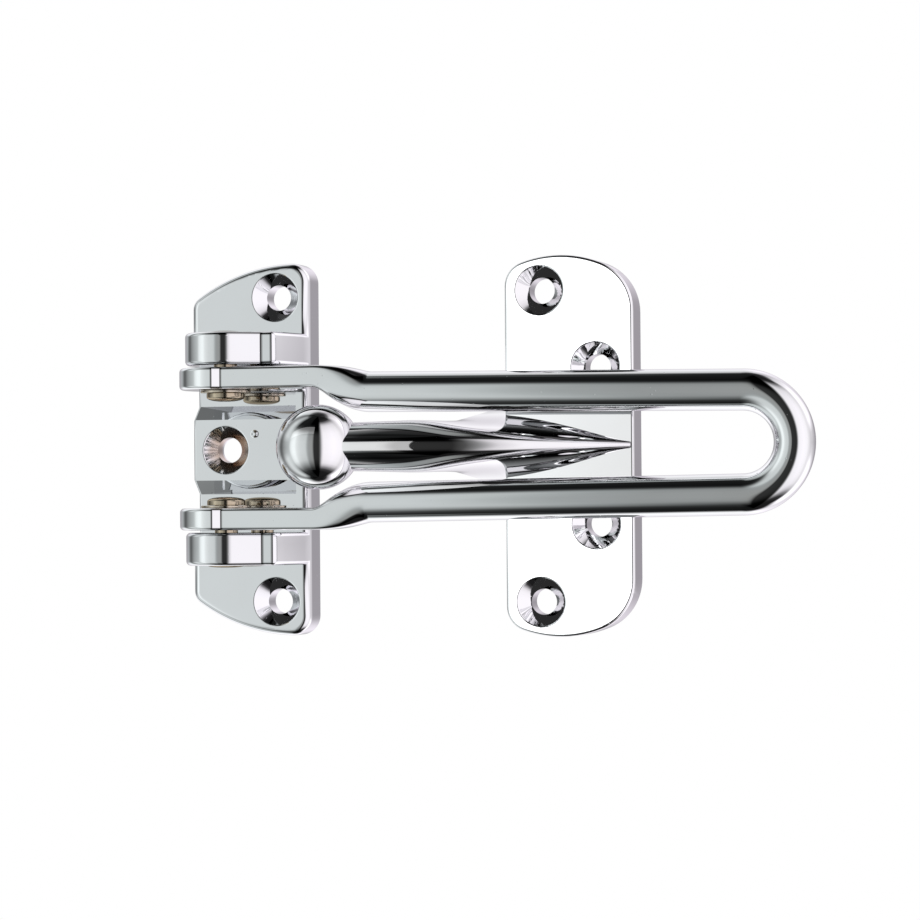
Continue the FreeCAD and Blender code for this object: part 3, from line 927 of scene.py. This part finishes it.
@dataclass
class SwingBar:
    """The U shaped bar: two eyes and straps, two turns, two bars and the end.

    Sizes are in millimetres.
    """

    pivot: Pivot
    bore_r: float = 2.38
    bore_low: float = 9.0
    eye_r: float = 9.3
    eye_inner: float = 11.9
    eye_thickness: float = 4.4
    edge_r: float = 0.8
    strap_depth: float = 8.0
    strap_drop: float = 1.0
    step_x: float = 0.4
    step_angle: float = 30.0
    step_r: float = 1.2
    heel_r: float = 2.5
    strap_end_x: float = 24.0
    bar_r: float = 4.0
    bar_start_x: float = 35.4
    bar_start_spacing: float = 10.9
    bar_end_r: float = 10.0
    bar_reach_x: float = 124.0

    def build(self) -> bpy.types.Object:
        """Makes the swing bar in place of its CAD node.

        Returns:
            The piece.
        """
        skin = Skin()
        strap = self._strap()
        for side in Side:
            skin.shell(side.of(strap), ring=True)
        skin.shell(self._bar(), ring=False)
        piece = skin.piece("swing_bar_formed", Finish.BAR, "chrome_bar", "bar", 40.0)
        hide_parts("swing_bar")
        return piece

    @property
    def strap_front(self) -> float:
        """How far out the strap's front face is."""
        return self.pivot.out + self.eye_r - self.strap_drop

    @staticmethod
    def _bend(
        centre: Pair, radius: float, start: float, stop: float, count: int, outward: float,
    ) -> tuple[np.ndarray, np.ndarray]:
        """Places and outward normals on an arc: centre + radius (cos a, sin a)."""
        angle = np.linspace(start, stop, count, endpoint=False)
        ray = pairs(np.cos(angle), np.sin(angle))
        return np.array(centre) + radius * ray, outward * ray

    @staticmethod
    def _run(a: Pair, b: Pair, normal: Pair, count: int) -> tuple[np.ndarray, np.ndarray]:
        """Places and normals on the straight run a + t (b - a)."""
        share = np.linspace(0.0, 1.0, count, endpoint=False)[:, None]
        places = np.array(a) + share * (np.array(b) - np.array(a))
        return places, np.tile(normal, (count, 1))

    def _outline(self) -> tuple[np.ndarray, np.ndarray, np.ndarray]:
        """The strap's outline seen from above, round from the heel.

        The eye's circle runs from the heel's fillet to the crest. A fillet
        leads to the short slope, a hollow fillet to the flat front, and then
        come the end, the flat back and the heel's hollow fillet. A fillet's
        centre lies its radius off both lines that it joins.

        Returns:
            Places (x, out), outward normals, and the angle on the bore that
            each place is joined to.
        """
        px, po = self.pivot.x, self.pivot.out
        front, back = self.strap_front, self.strap_front - self.strap_depth
        slope = math.radians(self.step_angle)
        across = np.array([math.sin(slope), math.cos(slope)])
        down = np.array([math.cos(slope), -math.sin(slope)])
        crest = np.array([self.step_x, math.sqrt(self.eye_r ** 2 - self.step_x ** 2)])
        inset = across @ crest - self.step_r
        knee = inset * across - math.sqrt((self.eye_r - self.step_r) ** 2 - inset ** 2) * down
        crest_angle = math.atan2(knee[1], knee[0])
        knee = knee + (px, po)
        crest = crest + (px, po)
        hollow_out = front + self.step_r
        along = (self.step_r - across[1] * (hollow_out - crest[1])) / across[0]
        hollow = np.array([crest[0] + along, hollow_out])
        heel_out = back - self.heel_r
        heel_x = px + math.sqrt((self.eye_r + self.heel_r) ** 2 - (heel_out - po) ** 2)
        heel_angle = math.atan2(heel_out - po, heel_x - px)
        end = self.strap_end_x
        middle = (front + back) / 2
        end_out = np.linspace(front, back, 8, endpoint=False)
        turn = 2 * math.pi
        parts = [
            self._bend((px, po), self.eye_r, heel_angle, crest_angle - turn, 132, 1.0),
            self._bend(tuple(knee), self.step_r, crest_angle, math.pi / 2 - slope, 8, 1.0),
            self._run(knee + self.step_r * across, hollow - self.step_r * across, tuple(across), 4),
            self._bend(tuple(hollow), self.step_r, 1.5 * math.pi - slope, 1.5 * math.pi, 8, -1.0),
            self._run((hollow[0], front), (end, front), (0.0, 1.0), 10),
            (
                pairs(np.full(8, end), end_out),
                pairs(np.zeros(8), (end_out - middle) * 2 / self.strap_depth),
            ),
            self._run((end, back), (heel_x, back), (0.0, -1.0), 10),
            self._bend((heel_x, heel_out), self.heel_r, math.pi / 2, math.pi + heel_angle, 16, -1.0),
        ]
        corner = math.atan2(front - po, end - px)
        low = math.radians(self.bore_low)
        marks = [heel_angle, crest_angle - turn]
        marks += [math.atan2(part[0][0, 1] - po, part[0][0, 0] - px) - turn for part in parts[2:5]]
        marks += [corner - turn, low - turn, low - turn, heel_angle - turn]
        joined = [
            np.linspace(start, stop, len(places), endpoint=False)
            for (places, _), start, stop in zip(parts, marks[:-1], marks[1:])
        ]
        places, normals = (np.concatenate([part[k] for part in parts]) for k in range(2))
        return places, normals, np.concatenate(joined)

    def _strap(self) -> np.ndarray:
        """The upper eye and strap: the outline carried up the thickness.

        Place (i, j) is outline point i moved inwards by the rounded rim's
        r (1 - cos a) while the height rises by r (1 - sin a). The first and
        last columns lie on the bore, which closes the ring.

        Returns:
            The grid.
        """
        places, normals, joined = self._outline()
        angle = np.linspace(math.pi / 2, 0.0, 6)
        inwards = self.edge_r * (1.0 - np.cos(angle))
        rise = self.edge_r * (1.0 - np.sin(angle))
        low, high = self.eye_inner, self.eye_inner + self.eye_thickness
        depth = np.concatenate([inwards, inwards[::-1]])
        height = np.concatenate([low + rise, high - rise[::-1]])
        rim = places[:, None, :] - depth[None, :, None] * normals[:, None, :]
        bore = pairs(np.cos(joined), np.sin(joined)) * self.bore_r + (self.pivot.x, self.pivot.out)
        flat = np.concatenate([bore[:, None, :], rim, bore[:, None, :]], axis=1)
        height = np.concatenate([[low], height, [high]])
        return at(flat[..., 0], flat[..., 1], height[None, :])

    def _path(self) -> np.ndarray:
        """Centre line of the bar from the upper strap round to the lower.

        The turn is a cubic in x whose slopes are 0 at the strap and the
        heading of the bar at its end. The bar is straight and runs tangent
        to the half ring. The lower half mirrors the upper.

        Returns:
            Rows of x, z, heading, half width and roundness of each section.
        """
        centre_x = self.bar_reach_x - self.bar_end_r - self.bar_r
        run = centre_x - self.bar_start_x
        heading = math.asin(self.bar_end_r / math.hypot(run, self.bar_start_spacing))
        heading -= math.atan2(self.bar_start_spacing, run)
        start_z = self.eye_inner + self.eye_thickness / 2
        length = self.bar_start_x - self.strap_end_x
        fall = self.bar_start_spacing - start_z
        u = np.linspace(0.0, 1.0, 49)
        ease = eased(u)
        turn = np.stack([
            self.strap_end_x + u * length,
            start_z + fall * ease + math.tan(heading) * length * u * u * (u - 1.0),
            np.arctan(fall * 6 * u * (1 - u) / length + math.tan(heading) * (3 * u * u - 2 * u)),
            self.eye_thickness / 2 + (self.bar_r - self.eye_thickness / 2) * ease,
            ease,
        ])
        touch = (centre_x - self.bar_end_r * math.sin(heading), self.bar_end_r * math.cos(heading))
        share = np.linspace(0.0, 1.0, 13)[1:-1]
        same = np.ones(len(share))
        straight = np.stack([
            self.bar_start_x + share * (touch[0] - self.bar_start_x),
            self.bar_start_spacing + share * (touch[1] - self.bar_start_spacing),
            same * heading,
            same * self.bar_r,
            same,
        ])
        angle = np.linspace(heading, -math.pi - heading, 97)
        full = np.ones(len(angle))
        ring = np.stack([
            centre_x - self.bar_end_r * np.sin(angle), self.bar_end_r * np.cos(angle), angle,
            full * self.bar_r, full,
        ])
        upper = np.concatenate([turn, straight], axis=1)
        lower = upper[:, ::-1] * np.array([[1], [-1], [-1], [1], [1]])
        lower[2] -= math.pi
        return np.concatenate([upper, ring, lower], axis=1)

    def _bar(self) -> np.ndarray:
        """The bar: a section carried along its centre line.

        A section mixes, point by point, a rounded oblong and the round bar in
        the share given by its roundness. Both are walked in eight parts, the
        oblong's four corners and four flats against eighths of the circle.

        Returns:
            The grid.
        """
        x, z, heading, half, roundness = self._path()[:, :, None]
        step = np.arange(64) / 8.0
        part, share = np.floor(step), step % 1.0
        on_corner = part % 2 == 0
        before = np.floor(part / 2) * math.pi / 2 + math.pi / 4
        after = before + math.pi / 2
        mix = np.where(on_corner, 0.0, share)
        middle_x = (1 - mix) * np.sign(np.cos(before)) + mix * np.sign(np.cos(after))
        middle_y = (1 - mix) * np.sign(np.sin(before)) + mix * np.sign(np.sin(after))
        ray = before - math.pi / 4 + np.where(on_corner, share, 1.0) * math.pi / 2
        round_angle = (step + 0.5) * math.pi / 4
        across = middle_x * (half - self.edge_r) + self.edge_r * np.cos(ray)
        deep = middle_y * (self.strap_depth / 2 - self.edge_r) + self.edge_r * np.sin(ray)
        across = across + roundness * (self.bar_r * np.cos(round_angle) - across)
        deep = deep + roundness * (self.bar_r * np.sin(round_angle) - deep)
        centre_out = self.strap_front - self.strap_depth / 2
        return at(x - np.sin(heading) * across, centre_out + deep, z + np.cos(heading) * across)


@dataclass
class RivetPins:
    """The two rivet pins with domed heads, and their washers.

    Sizes are in millimetres.
    """

    pivot: Pivot
    pin_r: float = 2.33
    head_r: float = 3.85
    head_low: float = 9.6
    head_high: float = 11.3
    head_rim: float = 0.75
    head_edge: float = 0.1
    dome: float = 2.3
    ear_top: float = 23.4
    end_r: float = 3.8
    end_height: float = 0.5
    washer_r: float = 5.05
    washer_bore: float = 2.43
    washer_low: float = 11.35
    washer_high: float = 11.85
    washer_edge: float = 0.12

    def build(self) -> list[bpy.types.Object]:
        """Makes both pins and both washers in place of their nodes.

        Returns:
            The pieces.
        """
        pieces = []
        for side in Side:
            word = side.word
            pin = Skin().shell(side.of(self._pin()), ring=False)
            made = pin.piece(f"domed_pin_{word}", Finish.PIN, "nickel_pin", "fixed_halves", 35.0)
            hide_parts(f"pivot_pin_{word}")
            pieces.append(made)
            ring = Skin().shell(side.of(self._washer()), ring=True)
            made = ring.piece(f"thin_washer_{word}", Finish.WASHER, "nickel_washer", "fixed_halves", 35.0)
            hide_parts(f"washer_{word}")
            pieces.append(made)
        return pieces

    def _dome(self, radius: float, height: float, steps: int) -> np.ndarray:
        """Profile of a dome: (r sin a, h (1 - sin(a)^p)^(1/p)) from the pole to the rim."""
        ray = np.sin(np.linspace(0.02, math.pi / 2, steps))
        rise = (1.0 - ray ** self.dome) ** (1.0 / self.dome)
        return pairs(radius * ray, height * rise)

    def _pin(self) -> np.ndarray:
        """The upper pin: its head's dome, rim, shank and riveted end, turned.

        Returns:
            The grid.
        """
        head = self._dome(self.head_r, self.head_high - self.head_rim - self.head_low, 20) * (1.0, -1.0)
        head[:, 1] += self.head_high - self.head_rim
        body = np.array([
            (self.head_r, self.head_high - self.head_edge),
            (self.head_r - self.head_edge, self.head_high),
            (self.pin_r, self.head_high),
            (self.pin_r, self.ear_top),
            (self.end_r, self.ear_top),
        ])
        end = self._dome(self.end_r, self.end_height, 10)[::-1] + (0.0, self.ear_top)
        return self.pivot.lathe(np.concatenate([head, body, end]), 64)

    def _washer(self) -> np.ndarray:
        """The upper washer: a rounded oblong profile, turned.

        Returns:
            The grid, with its rows going round the axis.
        """
        angle = np.concatenate([np.linspace(k, k + 1, 4) for k in range(4)]) * math.pi / 2
        edge = self.washer_edge
        middle_r, middle_z = (self.washer_r + self.washer_bore) / 2, (self.washer_high + self.washer_low) / 2
        half_x = (self.washer_r - self.washer_bore) / 2 - edge
        half_z = (self.washer_high - self.washer_low) / 2 - edge
        quarter = np.repeat(np.arange(4), 4) * math.pi / 2 + math.pi / 4
        radius = middle_r + half_x * np.sign(np.cos(quarter)) + edge * np.cos(angle)
        height = middle_z + half_z * np.sign(np.sin(quarter)) + edge * np.sin(angle)
        return self.pivot.lathe(pairs(radius, height), 64).transpose(1, 0, 2)


@dataclass
class Striker:
    """The striker: plate, arm and ball of one casting.

    Sizes are in millimetres. The plate is taken over from the solid, and the
    arm and the ball are worked out here.
    """

    left: float = 59.6
    width: float = 26.3
    thickness: float = 6.2
    ball_r: float = 8.4
    ball_x: float = 25.7
    ball_out: float = 21.5
    neck_r: float = 4.8
    neck_start_x: float = 28.5
    body_r: float = 5.6
    ridge_r: float = 2.4
    ridge_rise: float = 0.5
    flank_pull: float = 1.1
    start_slope: float = 0.03
    end_slope: float = 0.62
    tip_rise: float = 0.5
    tip_inset: float = 0.6
    tip_r: float = 0.5
    thinning: float = 1.8
    flare_length: float = 17.0
    flare_angle: float = 35.0
    foot_overlap: float = 1.0
    foot_tip: float = 0.6
    foot_spread: float = 0.46
    foot_curl: float = 0.0068
    upper_pull: float = 0.25
    lower_pull: float = 0.45
    handle: float = 0.5523
    outer_screw_x: float = 66.8
    outer_screw_z: float = 30.9
    inner_screw_x: float = 78.2
    inner_screw_z: float = 15.5

    def build(self) -> list[bpy.types.Object]:
        """Makes plate, arm and ball in place of the node.

        Returns:
            The pieces.
        """
        pieces = [self._plate()]
        for name, grid, crease in (("ball_arm", self._arm(), 50.0), ("ball_end", self._ball(), 60.0)):
            skin = Skin().shell(grid, ring=False)
            made = skin.piece(name, Finish.STRIKER, "chrome_striker", "fixed_halves", crease)
            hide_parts("ball_striker")
            pieces.append(made)
        return pieces

    def _plate(self) -> bpy.types.Object:
        """The plate without its arm, as a merged copy of the solid's mesh.

        Returns:
            The piece.
        """
        places = [(self.outer_screw_x, self.outer_screw_z), (self.inner_screw_x, self.inner_screw_z)]
        holes = [(x, z * side.value) for x, z in places for side in Side]
        solid = MergedSolid("ball_striker", Finish.STRIKER, "chrome_striker", holes)
        shape = solid.start()
        front, side = (self.thickness + 1e-3) * MM, (self.left - 1e-3) * MM
        middles = [(face, face.calc_center_median()) for face in shape.faces]
        off = [face for face, middle in middles if -middle.y > front or middle.x < side]
        bmesh.ops.delete(shape, geom=off, context="FACES")
        open_edges = [edge for edge in shape.edges if edge.is_boundary]
        bmesh.ops.holes_fill(shape, edges=open_edges, sides=0)
        return solid.finish_piece(shape, "striker_plate")

    def _ball(self) -> np.ndarray:
        """The ball: centre + r (cos a, sin a cos b, sin a sin b), with its axis along x.

        Returns:
            The grid.
        """
        polar = np.linspace(0.01, math.pi - 0.01, 97)[:, None]
        round_it = (np.arange(128) * 2 * math.pi / 128)[None, :]
        return at(
            self.ball_x + self.ball_r * np.cos(polar),
            self.ball_out + self.ball_r * np.sin(polar) * np.cos(round_it),
            self.ball_r * np.sin(polar) * np.sin(round_it),
        )

    @property
    def tip_x(self) -> float:
        """Where the arm's ridge ends on the plate."""
        return self.left + self.width - self.tip_inset

    def _crest(self, x: np.ndarray) -> np.ndarray:
        """How far out the ridge stands: a falling cubic between two slopes."""
        run = self.tip_x - self.neck_start_x
        u = (x - self.neck_start_x) / run
        start = self.ball_out + self.neck_r + self.ridge_rise
        end = self.thickness + self.tip_rise
        leaving = self.start_slope * run * u * (1 - u) ** 2
        arriving = self.end_slope * run * u * u * (1 - u)
        return start + (end - start) * eased(u) - leaving + arriving

    def _half_width(self, x: np.ndarray) -> np.ndarray:
        """Half width of the round part, eased from the neck to the body."""
        share = eased((x - self.neck_start_x) / (self.left - self.neck_start_x))
        return self.neck_r + (self.body_r - self.neck_r) * share

    def _ridge(self, x: np.ndarray) -> np.ndarray:
        """Radius over the ridge, which thins by a power to the tip."""
        thin_from = self.left - self.flare_length
        share = np.clip((x - thin_from) / (self.tip_x - thin_from), 0.0, None) ** self.thinning
        return self.ridge_r * (1 - share) + self.tip_r * share

    def _foot(self, x: np.ndarray) -> tuple[np.ndarray, np.ndarray]:
        """Half width and height of the foot: an arch a + b l - c l^2 on the plate."""
        along = self.tip_x - np.maximum(x, self.left)
        arch = self.foot_tip + self.foot_spread * along - self.foot_curl * along ** 2
        half_width = arch + (self.body_r - arch) * eased((self.left - x) / self.flare_length)
        rise = eased((self.left + self.foot_overlap - x) / self.flare_length)
        inside = self.thickness / 2
        return half_width, inside + (self._crest(x) - 2 * self._half_width(x) - inside) * rise

    def _arm(self) -> np.ndarray:
        """The arm: closed sections of four cubics carried along x.

        Each section has a rounded ridge and sloping shoulders. The neck's is
        round behind, and the one on the plate a bell with a flat sole. Their
        poles are mixed with an eased share.

        Returns:
            The grid.
        """
        x = np.linspace(self.neck_start_x, self.tip_x, 161)
        ridge, width, crest = self._ridge(x), self._half_width(x), self._crest(x)
        corner = ridge * math.sqrt(0.5)
        hold = self.handle * corner
        shoulder = pairs(corner, crest - ridge + corner)
        rise = pairs(corner - hold, shoulder[:, 1] + hold)
        bell = eased((x - self.left + self.flare_length) / (self.flare_length + self.foot_overlap))[:, None]
        necks, feet = self._round_poles(width, ridge, crest, shoulder), self._bell_poles(x, shoulder)
        down, up, heel, sole = [neck + bell * (foot - neck) for neck, foot in zip(necks, feet)]
        flip = np.array([-1.0, 1.0])
        outlines = [
            (shoulder * flip, rise * flip, rise, shoulder),
            (shoulder, down, up, heel),
            (heel, sole, sole * flip, heel * flip),
            (heel * flip, up * flip, down * flip, shoulder * flip),
        ]
        counts = (16, 28, 16, 28)
        section = np.concatenate([
            cubic(poles, np.linspace(0.0, 1.0, count, endpoint=False))
            for poles, count in zip(outlines, counts)
        ], axis=1)
        return at(x[:, None], section[..., 1], section[..., 0])

    def _round_poles(
        self, width: np.ndarray, ridge: np.ndarray, crest: np.ndarray, shoulder: np.ndarray,
    ) -> list[np.ndarray]:
        """Poles from the shoulder down a flank and round to the back of the neck."""
        diagonal = width * math.sqrt(0.5)
        flank = (width - ridge) * math.sqrt(0.5) * self.flank_pull
        hold = self.handle * diagonal
        back = crest - math.sqrt(2) * width + (math.sqrt(2) - 1) * ridge - diagonal
        return [
            pairs(shoulder[:, 0] + flank + hold, shoulder[:, 1] - flank - hold),
            pairs(diagonal + self.flank_pull * hold, back + self.flank_pull * hold),
            pairs(diagonal, back),
            pairs(diagonal - hold, back - hold),
        ]

    def _bell_poles(self, x: np.ndarray, shoulder: np.ndarray) -> list[np.ndarray]:
        """Poles from the shoulder down a flank that flares out to a flat foot."""
        half_width, foot_out = self._foot(x)
        drop = shoulder[:, 1] - foot_out
        lean = math.radians(self.flare_angle)
        upper, lower = self.upper_pull * drop, self.lower_pull * drop
        return [
            pairs(shoulder[:, 0] + upper, shoulder[:, 1] - upper),
            pairs(half_width - lower * math.sin(lean), foot_out + lower * math.cos(lean)),
            pairs(half_width, foot_out),
            pairs(half_width / 3, foot_out),
        ]


@dataclass
class HingeBracket:
    """The hinge bracket, whose solid has the real shape and only gets a finish.

    The places of its screws are in millimetres.
    """

    flange_screw_x: float = 11.2
    flange_screw_z: float = 30.9

    def build(self) -> bpy.types.Object:
        """Dresses a merged copy of the bracket's mesh.

        Returns:
            The piece.
        """
        holes = [(0.0, 0.0)] + [(self.flange_screw_x, self.flange_screw_z * side.value) for side in Side]
        solid = MergedSolid("hinge_bracket", Finish.CASTING, "chrome_casting", holes)
        return solid.finish_piece(solid.start(), "bracket_casting")


def main() -> None:
    """Builds the scene: camera, studio and each piece."""
    logging.basicConfig(level=logging.INFO, format="%(name)s: %(message)s")
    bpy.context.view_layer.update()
    Camera().build()
    tent = LightTent()
    tent.build()
    GreyCard(tent).build()
    PaleFloor().build()
    pivot = Pivot()
    HingeBracket().build()
    SwingBar(pivot).build()
    RivetPins(pivot).build()
    Striker().build()
    for light in SOFT_LIGHTS:
        light.build()
    bpy.context.scene.view_settings.view_transform = "Standard"
    bpy.context.view_layer.update()


if __name__ == "__main__":
    main()
